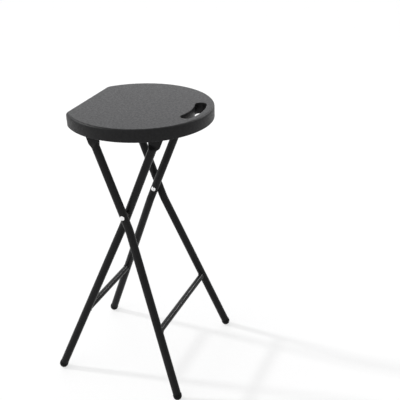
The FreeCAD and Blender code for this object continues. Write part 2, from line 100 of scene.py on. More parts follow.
class Wire:
    """One output of a node tree. Python's operators add the Math nodes that work on it."""

    def __init__(self, graph: "Graph", socket: bpy.types.NodeSocket) -> None:
        """Keep the output and the graph that it belongs to."""
        self.graph = graph
        self.socket = socket

    def maths(self, operation: str, *others: Value, turned: bool = False) -> "Wire":
        """Add a Math node for this value and the others, which come first where turned."""
        values = (*others, self) if turned else (self, *others)
        return self.graph.add("ShaderNodeMath", {"operation": operation}, *values)

    def __add__(self, other: Value) -> "Wire":
        """Sum."""
        return self.maths("ADD", other)

    def __sub__(self, other: Value) -> "Wire":
        """Difference."""
        return self.maths("SUBTRACT", other)

    def __rsub__(self, other: Value) -> "Wire":
        """Difference, with a plain number first."""
        return self.maths("SUBTRACT", other, turned=True)

    def __mul__(self, other: Value) -> "Wire":
        """Product."""
        return self.maths("MULTIPLY", other)

    def __truediv__(self, other: Value) -> "Wire":
        """Quotient."""
        return self.maths("DIVIDE", other)

    def __rtruediv__(self, other: Value) -> "Wire":
        """Quotient, with a plain number first."""
        return self.maths("DIVIDE", other, turned=True)

    __radd__ = __add__
    __rmul__ = __mul__


class Graph:
    """A node tree, of a material or of a modifier, to which nodes are added in one call each."""

    def __init__(self, tree: bpy.types.NodeTree) -> None:
        """Keep the tree."""
        self.tree = tree

    def put(self, node: bpy.types.Node, key: str | int, value: Value) -> None:
        """Link an output to a node's socket, or set a plain value on it.

        Args:
            node: The node.
            key: The socket's name or place.
            value: The output or the plain value.
        """
        if isinstance(value, Wire):
            self.tree.links.new(value.socket, node.inputs[key])
        else:
            node.inputs[key].default_value = value

    def node(self, kind: str, settings: dict[str, Any], values: dict[Any, Value]) -> bpy.types.Node:
        """Add a node.

        Args:
            kind: The node's type.
            settings: Properties of the node, set before its sockets.
            values: Plain values, or outputs to link, for its sockets by name or by place.

        Returns:
            The new node.
        """
        node = self.tree.nodes.new(kind)
        for name, setting in settings.items():
            setattr(node, name, setting)
        for key, value in values.items():
            self.put(node, key, value)
        return node

    def add(self, kind: str, settings: dict[str, Any], *values: Value,
            out: str | int = 0, **named: Value) -> Wire:
        """Add a node and return one of its outputs.

        Args:
            kind: The node's type.
            settings: Properties of the node.
            values: Values for its first sockets, in order.
            out: Name or place of the output.
            named: Values for sockets by name, with _ for a space.

        Returns:
            The chosen output.
        """
        inputs: dict[Any, Value] = dict(enumerate(values))
        inputs.update({name.replace("_", " "): value for name, value in named.items()})
        return Wire(self, self.node(kind, settings, inputs).outputs[out])

    def ramp(self, value: Wire, low: float, high: float, start: float = 0.0, end: float = 1.0) -> Wire:
        """Carry value from low..high to start..end, smoothly and clamped."""
        settings = {"interpolation_type": "SMOOTHSTEP"}
        return self.add("ShaderNodeMapRange", settings, value, low, high, start, end)

    def split(self, vector: Wire) -> list[Wire]:
        """The three values of a vector."""
        node = self.node("ShaderNodeSeparateXYZ", {}, {0: vector})
        return [Wire(self, socket) for socket in node.outputs]

    def combine(self, x: Value, y: Value, z: Value) -> Wire:
        """Join three values into a vector."""
        return self.add("ShaderNodeCombineXYZ", {}, x, y, z)


class Paint(Graph):
    """A material that is being made, with its shader and the place that its patterns read."""

    # The places of a Mix node's two colour inputs and of its colour output.
    mix_first, mix_second, mix_result = 6, 7, 2

    def __init__(self, name: str) -> None:
        """Start the material.

        Args:
            name: The material's name.
        """
        self.material = bpy.data.materials.new(name)
        self.material.use_nodes = True
        super().__init__(self.material.node_tree)
        self.shader = self.tree.nodes["Principled BSDF"]
        self.where = self.add("ShaderNodeTexCoord", {}, out="Object")

    def __getitem__(self, socket: str) -> Wire:
        """What feeds one of the shader's sockets so far."""
        return Wire(self, self.shader.inputs[socket].links[0].from_socket)

    def __setitem__(self, socket: str, value: Value) -> None:
        """Feed one of the shader's sockets, or set a plain value on it."""
        self.put(self.shader, socket, value)

    def noise(self, size: float, detail: float = 2.0) -> Wire:
        """Soft noise from 0 to 1 whose lumps are about size metres apart."""
        return self.add("ShaderNodeTexNoise", {}, Vector=self.where, Scale=1 / size,
                        Detail=detail, out="Fac")

    def mix(self, factor: Wire, first: Value, second: Value) -> Wire:
        """Mix two colours, each a link or three numbers.

        Args:
            factor: The second colour's share.
            first: The colour at 0.
            second: The colour at 1.

        Returns:
            The mixed colour.
        """
        colours = [value if isinstance(value, Wire) else (*value, 1.0) for value in (first, second)]
        values = {"Factor": factor, self.mix_first: colours[0], self.mix_second: colours[1]}
        mixer = self.node("ShaderNodeMix", {"data_type": "RGBA"}, values)
        return Wire(self, mixer.outputs[self.mix_result])

    def emboss(self, height: Wire, depth: float) -> None:
        """Feed the shader's normal from a height pattern, depth metres deep."""
        self["Normal"] = self.add("ShaderNodeBump", {}, Distance=depth, Height=height, out="Normal")


@dataclass(frozen=True)
class Finish(ABC):
    """What every finish has. A subclass adds its pattern in dress."""

    name: str
    colour: Triple
    roughness: float
    specular: float = 0.5
    metallic: float = 0.0

    def build(self) -> bpy.types.Material:
        """Make the material.

        Returns:
            The finished material.
        """
        paint = Paint(self.name)
        paint["Base Color"] = (*self.colour, 1.0)
        paint["Roughness"] = self.roughness
        paint["Metallic"] = self.metallic
        paint["Specular IOR Level"] = self.specular
        self.dress(paint)
        return paint.material

    @abstractmethod
    def dress(self, paint: Paint) -> None:
        """Add the finish's own pattern to its material."""

    def tone(self, share: float) -> tuple[float, ...]:
        """The finish's colour, lighter or darker by a share."""
        return tuple(channel * share for channel in self.colour)

    def gloss_range(self, change: float) -> Span:
        """The roughness less a change, and with the change added."""
        return self.roughness - change, self.roughness + change


@dataclass(frozen=True)
class MouldedPlastic(Finish):
    """Spark-grained moulding: shallow pits in two sizes, which also change its gloss."""

    grain: float = 0.9 * MM
    grain_softness: float = 0.6
    # The fine pits' height beside the coarse lumps'.
    grain_share: float = 0.6
    coarse_grain: float = 4.5 * MM
    coarse_detail: float = 3.0
    coarse_span: Span = (0.3, 0.7)
    grain_depth: float = 0.2 * MM
    unevenness: float = 0.18
    gloss_change: float = 0.05

    def dress(self, paint: Paint) -> None:
        """Add the grain to colour, gloss and normal.

        Args:
            paint: The material that is being made.
        """
        pits = paint.add("ShaderNodeTexVoronoi", {"feature": "SMOOTH_F1"}, Vector=paint.where,
                         Scale=1.0 / self.grain, Smoothness=self.grain_softness, out="Distance")
        lumps = paint.noise(self.coarse_grain, self.coarse_detail)
        speckle = paint.ramp(lumps, *self.coarse_span)
        dark, light = self.tone(1 - self.unevenness), self.tone(1 + self.unevenness)
        paint["Base Color"] = paint.mix(speckle, dark, light)
        paint["Roughness"] = paint.ramp(lumps, *self.coarse_span, *self.gloss_range(-self.gloss_change))
        paint.emboss(pits * self.grain_share + lumps, self.grain_depth)


@dataclass(frozen=True)
class ScuffedPlastic(MouldedPlastic):
    """The feet's plastic, which is rubbed lighter and duller where it meets the floor."""

    scuff_height: float = 3 * MM
    scuff_colour: Triple = (0.03, 0.029, 0.028)
    scuff_size: float = 1.5 * MM
    scuff_detail: float = 4.0
    scuff_span: Span = (0.45, 0.6)
    scuff_dulling: float = 0.25

    def dress(self, paint: Paint) -> None:
        """Add the grain, then the scuffs near the floor.

        Args:
            paint: The material that is being made.
        """
        super().dress(paint)
        height = paint.split(paint.where)[2]
        low = paint.ramp(height, 0.0, self.scuff_height, 1.0, 0.0)
        worn = paint.ramp(paint.noise(self.scuff_size, self.scuff_detail), *self.scuff_span) * low
        paint["Base Color"] = paint.mix(worn, paint["Base Color"], self.scuff_colour)
        paint["Roughness"] = paint["Roughness"] + worn * self.scuff_dulling


@dataclass(frozen=True)
class PowderCoat(Finish):
    """Satin powder coat on steel: orange peel and a slight change of gloss."""

    peel: float = 1.6 * MM
    peel_depth: float = 0.02 * MM
    peel_share: float = 0.5
    drift_size: float = 35 * MM
    drift_span: Span = (0.35, 0.65)
    unevenness: float = 0.15
    gloss_change: float = 0.03

    def dress(self, paint: Paint) -> None:
        """Add orange peel and a slow drift of colour and gloss.

        Args:
            paint: The material that is being made.
        """
        peel, drift = paint.noise(self.peel), paint.noise(self.drift_size)
        dark, light = self.tone(1 - self.unevenness), self.tone(1 + self.unevenness)
        paint["Base Color"] = paint.mix(drift, dark, light)
        both = drift * (1 - self.peel_share) + peel * self.peel_share
        paint["Roughness"] = paint.ramp(both, *self.drift_span, *self.gloss_range(self.gloss_change))
        paint.emboss(peel, self.peel_depth)


@dataclass(frozen=True)
class ZincPlate(Finish):
    """Bright zinc plate: metal with a faint mottle and fine handling marks."""

    mottle: float = 1.4 * MM
    mottle_detail: float = 3.0
    mottle_span: Span = (0.35, 0.65)
    mottle_tone: float = 0.9
    dulling: float = 0.1
    mark: float = 0.35 * MM
    mark_depth: float = 0.008 * MM

    def dress(self, paint: Paint) -> None:
        """Add mottle to colour and gloss, and marks to the normal.

        Args:
            paint: The material that is being made.
        """
        shade = paint.ramp(paint.noise(self.mottle, self.mottle_detail), *self.mottle_span)
        paint["Base Color"] = paint.mix(shade, self.tone(self.mottle_tone), self.colour)
        paint["Roughness"] = self.roughness + shade * self.dulling
        paint.emboss(paint.noise(self.mark), self.mark_depth)


FINISHES: dict[Slot, Finish] = {
    Slot.SEAT: MouldedPlastic("grained_black_plastic", (0.0075, 0.0075, 0.008),
                              roughness=0.45, specular=0.175),
    Slot.TUBE: PowderCoat("black_powder_coat", (0.0135, 0.0135, 0.0138),
                          roughness=0.28, specular=0.08),
    Slot.BRACKET: PowderCoat("bracket_powder_coat", (0.014, 0.014, 0.0145),
                             roughness=0.4, specular=0.3),
    Slot.ZINC: ZincPlate("bright_zinc", (0.9, 0.9, 0.9), roughness=0.25, metallic=1.0),
    Slot.FOOT: ScuffedPlastic("foot_plastic", (0.005, 0.005, 0.005),
                              roughness=0.45, specular=0.08, grain_depth=0.03 * MM),
    Slot.SPACER: MouldedPlastic("spacer_plastic", (0.01, 0.01, 0.01),
                                roughness=0.5, specular=0.25, grain_depth=0.02 * MM),
}


@cache
def material_of(slot: Slot) -> bpy.types.Material:
    """The material for a slot, made when it is first asked for."""
    return FINISHES[slot].build()


def joint_place(name: str) -> Vector:
    """The axis point of one of the frame's joints."""
    return next(Vector(joint["pos_m"]) for joint in frame["joints"] if joint["name"] == name)


def node_centre(node: str) -> Vector:
    """The middle of a CAD node's box."""
    low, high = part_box(node)
    return (low + high) / 2


def both_sides(*kinds: str) -> list[str]:
    """The names of CAD nodes that come in pairs, left before right."""
    return [f"{kind}_{side.word}" for kind in kinds for side in Side]


BRACKETS = both_sides("hinge_bracket", "hook_bracket")


def spread(low: float, high: float, steps: int) -> list[float]:
    """Even steps from low to high, with both ends."""
    return [low + (high - low) * step / steps for step in range(steps + 1)]


def quarter(steps: int) -> list[Span]:
    """Sine and cosine over a quarter turn."""
    return [(math.sin(angle), math.cos(angle)) for angle in spread(0.0, QUARTER_TURN, steps)]


def whole(steps: int) -> list[float]:
    """The angles of a full turn, without the last, which is the first again."""
    return spread(0.0, FULL_TURN, steps)[:-1]


def clamp(share: float) -> float:
    """A share kept from 0 to 1."""
    return min(1.0, max(0.0, share))


def smooth(share: float) -> float:
    """A share from 0 to 1 with soft ends."""
    share = clamp(share)
    return share * share * (3 - 2 * share)


def mesh_of(name: str, points: Sequence[Vector], faces: Sequence[Sequence[int]] = (),
            edges: Sequence[tuple[int, int]] = ()) -> bpy.types.Mesh:
    """Make a mesh.

    Args:
        name: Its name.
        points: Its vertices.
        faces: Its faces.
        edges: Its edges, where it has no faces.

    Returns:
        The mesh.
    """
    mesh = bpy.data.meshes.new(name)
    mesh.from_pydata([tuple(point) for point in points], edges, faces)
    return mesh


def add_object(name: str, data: bpy.types.ID) -> bpy.types.Object:
    """Add an object to the scene, at the origin.

    Args:
        name: Its name.
        data: Its mesh, lamp or camera.

    Returns:
        The new object.
    """
    thing = bpy.data.objects.new(name, data)
    bpy.context.scene.collection.objects.link(thing)
    return thing


def set_material(thing: bpy.types.Object, material: bpy.types.Material) -> None:
    """Give an object one material and no other."""
    thing.data.materials.clear()
    thing.data.materials.append(material)


def add_piece(name: str, mesh: bpy.types.Mesh, slot: Slot, body: str, *nodes: str) -> None:
    """Finish a visible mesh, with its object at the origin, and put it on its body.

    Doubles are merged, faces turned outwards, and edges sharper than the crease stay sharp.

    Args:
        name: The new object's name.
        mesh: Its mesh.
        slot: The record's slot that it is finished as.
        body: The body that it rides on.
        nodes: CAD nodes that it replaces.
    """
    work = bmesh.new()
    work.from_mesh(mesh)
    bmesh.ops.remove_doubles(work, verts=work.verts, dist=MERGE_DISTANCE)
    bmesh.ops.recalc_face_normals(work, faces=work.faces)
    work.to_mesh(mesh)
    work.free()
    mesh.shade_smooth()
    mesh.set_sharp_from_angle(angle=CREASE)
    piece = add_object(name, mesh)
    set_material(piece, material_of(slot))
    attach(piece, body)
    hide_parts(*nodes)
    log.info("%s rides on %s, %d faces", name, body, len(mesh.polygons))


class Pattern(Graph):
    """A Geometry Nodes tree with named sizes, which is baked to a plain mesh."""

    rod_turns = 32

    def __init__(self, name: str, sizes: dict[str, float]) -> None:
        """Start the tree.

        Args:
            name: The tree's name.
            sizes: Its size inputs, by name.
        """
        super().__init__(bpy.data.node_groups.new(name, "GeometryNodeTree"))
        self.socket("Places", "Geometry")
        self.sizes = {self.socket(label, "Float"): size for label, size in sizes.items()}
        self.socket("Shape", "Geometry", "OUTPUT")
        self.entry = self.node("NodeGroupInput", {}, {})

    def socket(self, label: str, kind: str, way: str = "INPUT") -> str:
        """Add an input or output to the tree and return its identifier."""
        sockets = self.tree.interface
        return sockets.new_socket(label, in_out=way, socket_type=f"NodeSocket{kind}").identifier

    def __getitem__(self, label: str) -> Wire:
        """One of the tree's inputs."""
        return Wire(self, self.entry.outputs[label])

    def place(self) -> list[Wire]:
        """The three values of the place of each point."""
        return self.split(self.add("GeometryNodeInputPosition", {}))

    def move(self, shape: Wire, x: Value, y: Value, z: Value) -> Wire:
        """A shape moved by three distances."""
        return self.add("GeometryNodeTransform", {}, shape, Translation=self.combine(x, y, z))

    def join(self, *shapes: Wire) -> Wire:
        """Put shapes together.

        Args:
            shapes: The shapes.

        Returns:
            All of them as one.
        """
        node = self.node("GeometryNodeJoinGeometry", {}, {})
        for shape in shapes:
            self.put(node, 0, shape)
        return Wire(self, node.outputs[0])

    def cut(self, shape: Wire, cutter: Wire) -> Wire:
        """A shape less another."""
        settings = {"operation": "DIFFERENCE", "solver": "EXACT"}
        return self.add("GeometryNodeMeshBoolean", settings, shape, cutter, Self_Intersection=True)

    def cylinder(self, radius: Value, length: Value, low: Value) -> Wire:
        """A closed rod along Z that starts at a height."""
        rod = self.add("GeometryNodeMeshCylinder", {}, self.rod_turns, Radius=radius, Depth=length)
        return self.move(rod, 0.0, 0.0, low + length / 2)

    def on_places(self, shape: Wire, **turn: Value) -> Wire:
        """Copies of a shape on the points of the tree's places."""
        return self.add("GeometryNodeInstanceOnPoints", {}, self["Places"], Instance=shape, **turn)

    def bake(self, shape: Wire, places: bpy.types.Mesh,
             name: str, slot: Slot, body: str, *nodes: str) -> None:
        """End the tree, run it and keep the result as a piece with no modifier.

        Args:
            shape: The tree's last shape.
            places: The mesh that the tree works on.
            name: The new piece's name.
            slot: The record's slot that it is finished as.
            body: The body that it rides on.
            nodes: CAD nodes that it replaces.
        """
        real = self.add("GeometryNodeRealizeInstances", {}, shape)
        dressed = self.add("GeometryNodeSetMaterial", {}, real, Material=material_of(slot))
        self.node("NodeGroupOutput", {}, {"Shape": dressed})
        holder = add_object(f"{name}_places", places)
        modifier = holder.modifiers.new(name, "NODES")
        modifier.node_group = self.tree
        for key, size in self.sizes.items():
            modifier[key] = size
        depsgraph = bpy.context.evaluated_depsgraph_get()
        mesh = bpy.data.meshes.new_from_object(holder.evaluated_get(depsgraph))
        holder.modifiers.remove(modifier)
        bpy.data.objects.remove(holder)
        add_piece(name, mesh, slot, body, *nodes)


def loft(rings: Sequence[Ring], capped: bool = True) -> tuple[Ring, Faces]:
    """Join rings of equal count by quads.

    Args:
        rings: The rings, in order.
        capped: Close the first and the last ring.

    Returns:
        The vertices and the faces.
    """
    count = len(rings[0])
    points = [point for ring in rings for point in ring]
    faces: Faces = []
    for low in range(0, len(points) - count, count):
        for place in range(count):
            after = (place + 1) % count
            faces.append((low + place, low + after, low + count + after, low + count + place))
    if capped:
        faces.append(tuple(reversed(range(count))))
        faces.append(tuple(range(len(points) - count, len(points))))
    return points, faces


def lathe(start: Vector, along: Vector, profile: Sequence[Span], count: int = 48) -> list[Ring]:
    """Make the rings of a turned form.

    Args:
        start: The point on the axis where the profile's distances begin.
        along: The axis.
        profile: Distance along the axis and radius, for each ring.
        count: Points in a ring.

    Returns:
        The rings.
    """
    along = along.normalized()
    first = along.orthogonal().normalized()
    second = along.cross(first)
    spokes = [first * math.cos(angle) + second * math.sin(angle) for angle in whole(count)]
    return [[start + along * distance + spoke * radius for spoke in spokes] for distance, radius in profile]


@dataclass
class Seat:
    """The seat moulding: a disc with a cut-off edge, a skirt, a handle slot, ribs and pads."""

    radius: float = 150 * MM
    rim_steps: int = 200
    chord: float = 119.5 * MM
    corner: float = 20 * MM
    corner_steps: int = 14
    skirt: float = 3 * MM
    skirt_depth: float = 26 * MM
    chord_depth: float = 14 * MM
    chord_half: float = 98 * MM
    step_width: float = 1.2 * MM
    edge_radius: float = 5 * MM
    edge_steps: int = 8
    lip_radius: float = 0.8 * MM
    lip_steps: int = 4
    flat_margin: float = 1 * MM
    top: float = 3.5 * MM
    slot_middle: float = 122.2 * MM
    slot_half: float = 12 * MM
    slot_angle: float = math.radians(18.5)
    slot_steps: int = 28
    slot_end_steps: int = 20
    slot_edge: float = 1.2 * MM
    slot_edge_steps: int = 6
    slot_wall: float = 2.5 * MM
    slot_depth: float = 23.2 * MM
    rib_depth: float = 10 * MM
    rib_thickness: float = 2 * MM
    rib_pitch: float = 40 * MM
    rib_root: float = 0.5 * MM
    # What the seat's pieces are finished as, ride on and stand for.
    role: tuple[Slot, str, str] = (Slot.SEAT, "seat", "seat_shell")
    centre: Vector = field(init=False)

    def __post_init__(self) -> None:
        """Find the seat's place from the frame."""
        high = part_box("seat_shell")[1]
        self.centre = Vector((high.x - self.radius, 0.0, high.z))

    def arc(self, middle: Span, radius: float, angles: Iterable[float], sign: int) -> Course:
        """Points on an arc with directions away from its middle, or towards it where sign is -1."""
        outs = [Vector((math.cos(angle), math.sin(angle))) for angle in angles]
        return [(Vector(middle) + out * radius, out * sign) for out in outs]

    def outline(self) -> Course:
        """Follow the rim, anticlockwise from above.

        Returns:
            Points with directions into the moulding.
        """
        corner_x = self.corner - self.chord
        corner_y = math.sqrt((self.radius - self.corner) ** 2 - corner_x ** 2)
        touch = math.atan2(corner_y, corner_x)
        step = math.asin(self.chord_half / self.radius)
        angles = spread(-touch, touch, self.rim_steps)
        for offset in (-self.step_width, 0.0, self.step_width):
            angles += [sign * (HALF_TURN - step + offset / self.radius) for sign in (1, -1)]
        first_corner = spread(touch, HALF_TURN, self.corner_steps)[1:]
        second_corner = spread(HALF_TURN, FULL_TURN - touch, self.corner_steps)[:-1]
        return (self.arc((0, 0), self.radius, sorted(angles), -1)
                + self.arc((corner_x, corner_y), self.corner, first_corner, -1)
                + self.arc((corner_x, -corner_y), self.corner, second_corner, -1))

    def slot_outline(self) -> Course:
        """Follow the slot's edge, anticlockwise from above.

        Returns:
            Points with directions into the moulding.
        """
        sweep = spread(-self.slot_angle, self.slot_angle, self.slot_steps)
        return (self.arc((0, 0), self.slot_middle + self.slot_half, sweep, 1)
                + self.slot_end(self.slot_angle, self.slot_angle)
                + self.arc((0, 0), self.slot_middle - self.slot_half, reversed(sweep), -1)
                + self.slot_end(-self.slot_angle, HALF_TURN - self.slot_angle))

    def slot_end(self, place: float, start: float) -> Course:
        """Follow one of the slot's round ends, without its first and last point.

        Args:
            place: The end's angle about the seat's centre.
            start: The direction of its first point from its middle.

        Returns:
            Points with directions into the moulding.
        """
        middle = (self.slot_middle * math.cos(place), self.slot_middle * math.sin(place))
        angles = spread(start, start + HALF_TURN, self.slot_end_steps)[1:-1]
        return self.arc(middle, self.slot_half, angles, 1)

    def depth_at(self, point: Vector) -> float:
        """How deep the skirt is below the sitting face at a point of the rim."""
        share = 1.0 if point.x > 0 else clamp((abs(point.y) - self.chord_half) / self.step_width + 0.5)
        return self.chord_depth + (self.skirt_depth - self.chord_depth) * share

    def place(self, point: Vector, drop: float) -> Vector:
        """A point in the row frame from its place on the seat's plan."""
        return Vector((self.centre.x + point.x, self.centre.y + point.y, self.centre.z - drop))

    def wall_rings(self, edge: Course, rounding: float, steps: int, wall: float,
                   depth: Callable[[Vector], float]) -> list[Ring]:
        """Go from the sitting face over an edge, down its wall, round the lip and up the back.

        Args:
            edge: Points along the edge with directions into the moulding.
            rounding: The edge's radius.
            steps: Rings round it.
            wall: The wall's thickness.
            depth: How deep the wall is at a point of the edge.

        Returns:
            The rings.
        """
        lip, turn = self.lip_radius, quarter(self.lip_steps)
        over = [(rounding + self.flat_margin, 0.0)]
        over += [(rounding * (1 - s), rounding * (1 - c)) for s, c in quarter(steps)]
        under = [(lip * (1 - c), lip * (1 - s)) for s, c in turn]
        under += [(wall - lip * (1 - s), lip * (1 - c)) for s, c in turn]
        rings = [[self.place(p + n * inset, drop) for p, n in edge] for inset, drop in over]
        rings += [[self.place(p + n * inset, depth(p) - rise) for p, n in edge] for inset, rise in under]
        rings.append([self.place(p + n * wall, self.top) for p, n in edge])
        return rings

    def moulding(self) -> None:
        """Join rim, slot and the two faces between them."""
        rim = self.wall_rings(self.outline(), self.edge_radius, self.edge_steps, self.skirt, self.depth_at)
        slot = self.wall_rings(self.slot_outline(), self.slot_edge, self.slot_edge_steps, self.slot_wall,
                               lambda point: self.slot_depth)
        points, faces = loft(rim, capped=False)
        slot_points, slot_faces = loft(slot, capped=False)
        start = len(points)
        faces += [tuple(start + corner for corner in face) for face in slot_faces]
        rim_count, slot_count = len(rim[0]), len(slot[0])
        last_rim, last_slot = start - rim_count, start + len(slot_points) - slot_count
        for rim_low, slot_low, row in ((0, start, 0), (last_rim, last_slot, -1)):
            places = [*range(rim_low, rim_low + rim_count), *range(slot_low, slot_low + slot_count)]
            faces += [tuple(places[corner] for corner in triangle)
                      for triangle in tessellate_polygon([rim[row], slot[row]])]
        add_piece("seat_moulding", mesh_of("seat_moulding", points + slot_points, faces), *self.role)

    def rib_row(self, pattern: Pattern, lengthwise: bool) -> Wire:
        """Make one set of parallel ribs, each as long as the seat is wide there.

        Args:
            pattern: The tree that they belong to.
            lengthwise: True for ribs along X, False for ribs along Y.

        Returns:
            The ribs.
        """
        def plan(along: Value, aside: Value, up: Value = 0.0) -> Wire:
            """A vector from its values along the ribs, across them and up."""
            return pattern.combine(*((along, aside) if lengthwise else (aside, along)), up)

        before = int((self.radius if lengthwise else self.chord) // self.rib_pitch)
        after = int(self.radius // self.rib_pitch)
        pitch = pattern["Pitch"]
        line = pattern.add("GeometryNodeMeshLine", {"mode": "OFFSET"}, before + 1 + after,
                           Start_Location=plan(0.0, pitch * -before), Offset=plan(0.0, pitch))
        aside = pattern.place()[1 if lengthwise else 0]
        half = (pattern["Reach"] * pattern["Reach"] - aside * aside).maths("SQRT")
        back = half.maths("MINIMUM", pattern["Chord"]) if lengthwise else half
        line = pattern.add("GeometryNodeSetPosition", {}, line, Position=plan((half - back) / 2, aside))
        rib = pattern.add("GeometryNodeMeshCube", {}, plan(1.0, pattern["Thickness"], pattern["Depth"]))
        ribs = pattern.add("GeometryNodeInstanceOnPoints", {}, line, Instance=rib,
                           Scale=plan(half + back, 1.0, 1.0))
        return pattern.add("GeometryNodeRealizeInstances", {}, ribs)

    def ribs(self) -> None:
        """Crossing ribs under the sitting face, left open where the slot goes through."""
        low, high = self.rib_depth, self.top - self.rib_root
        cutter_drop, cutter_height = 2 * low, 3 * (low - high)
        pattern = Pattern("rib_grid", {
            "Pitch": self.rib_pitch, "Thickness": self.rib_thickness, "Depth": low - high,
            "Reach": self.radius - self.skirt / 2, "Chord": self.chord - self.skirt / 2,
            "Centre": self.centre.x, "Level": self.centre.z - (low + high) / 2,
            "Cutter height": cutter_height})
        grid = pattern.join(self.rib_row(pattern, True), self.rib_row(pattern, False))
        grid = pattern.move(grid, pattern["Centre"], 0.0, pattern["Level"])
        wall = pattern.add("GeometryNodeExtrudeMesh", {}, pattern["Places"], Offset=tuple(UP),
                           Offset_Scale=pattern["Cutter height"])
        floor = pattern.add("GeometryNodeFlipFaces", {}, pattern["Places"])
        cutter = pattern.add("GeometryNodeMergeByDistance", {}, pattern.join(wall, floor))
        opening = [self.place(p + n * self.slot_wall / 2, cutter_drop) for p, n in self.slot_outline()]
        places = mesh_of("slot_opening", opening, [range(len(opening))])
        pattern.bake(pattern.cut(grid, cutter), places, "seat_ribs", *self.role)

    def pads(self) -> None:
        """Solid pads that the four brackets are screwed to."""
        low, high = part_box(BRACKETS[0])
        root = self.top - self.rib_root
        depth = self.rib_depth - root
        pattern = Pattern("bracket_pads", {
            "Length": high.x - low.x, "Width": high.y - low.y, "Depth": depth})
        size = pattern.combine(pattern["Length"], pattern["Width"], pattern["Depth"])
        pads = pattern.on_places(pattern.add("GeometryNodeMeshCube", {}, size))
        middles = [node_centre(bracket) for bracket in BRACKETS]
        level = self.centre.z - root - depth / 2
        places = mesh_of("pad_places", [Vector((middle.x, middle.y, level)) for middle in middles])
        pattern.bake(pads, places, "seat_pads", *self.role)

    def build(self) -> None:
        """Make the moulding, its ribs and its pads."""
        self.moulding()
        self.ribs()
        self.pads()


